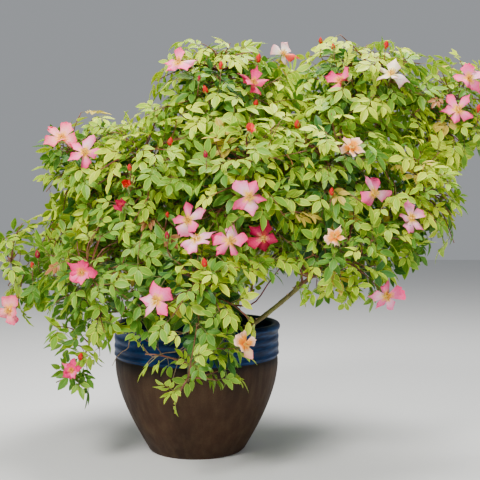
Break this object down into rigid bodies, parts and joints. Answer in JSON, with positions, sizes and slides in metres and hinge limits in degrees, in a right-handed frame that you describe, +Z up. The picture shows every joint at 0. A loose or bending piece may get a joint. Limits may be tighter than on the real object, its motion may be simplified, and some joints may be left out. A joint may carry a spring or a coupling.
{
  "type": "potted rose bush",
  "caption": "China rose bush in a round glazed pot: canes fan out from one stem into many masses of light green leaves with single pink and peach blooms.",
  "frame": {"origin": "middle of the pot's flat underside", "axes": "+Z up along the pot's axis, -Y towards the side that the picture shows, +X to the right seen from there"},
  "size_m": [1.2191, 0.8342, 0.9937],
  "materials": {
    "glaze": "glossy",
    "compost": "matte",
    "stem": "matte",
    "canes": "satin",
    "foliage": "satin"
  },
  "bodies": {
    "root": {"pot": "glaze", "compost": "compost", "stem": "stem", "cane_front_right": "canes", "cane_centre": "canes", "cane_top": "canes", "cane_mid_right": "canes", "cane_left": "canes", "cane_low_left": "canes", "cane_front": "canes", "cane_back_left": "canes", "cane_back_right": "canes", "cane_back": "canes", "lateral_low_mid": "canes", "lateral_heart": "canes", "lateral_left_top": "canes", "lateral_far_left": "canes", "lateral_droop": "canes", "lateral_low_right": "canes", "lateral_right_tip": "canes", "lateral_top_right": "canes", "lateral_back_top": "canes", "lateral_back_low": "canes", "pruned_stub": "canes", "foliage_top_left": "foliage", "foliage_top_right": "foliage", "foliage_right_tip": "foliage", "foliage_left_top": "foliage", "foliage_mid_left": "foliage", "foliage_centre": "foliage", "foliage_centre_right": "foliage", "foliage_right": "foliage", "foliage_left_low": "foliage", "foliage_far_left": "foliage", "foliage_low_mid": "foliage", "foliage_low_right": "foliage", "foliage_left_droop": "foliage", "foliage_pot_front": "foliage", "foliage_heart": "foliage", "foliage_back_left": "foliage", "foliage_back_mid": "foliage", "foliage_back_right": "foliage", "foliage_back_top": "foliage", "foliage_back_low": "foliage"}
  },
  "joints": []
}
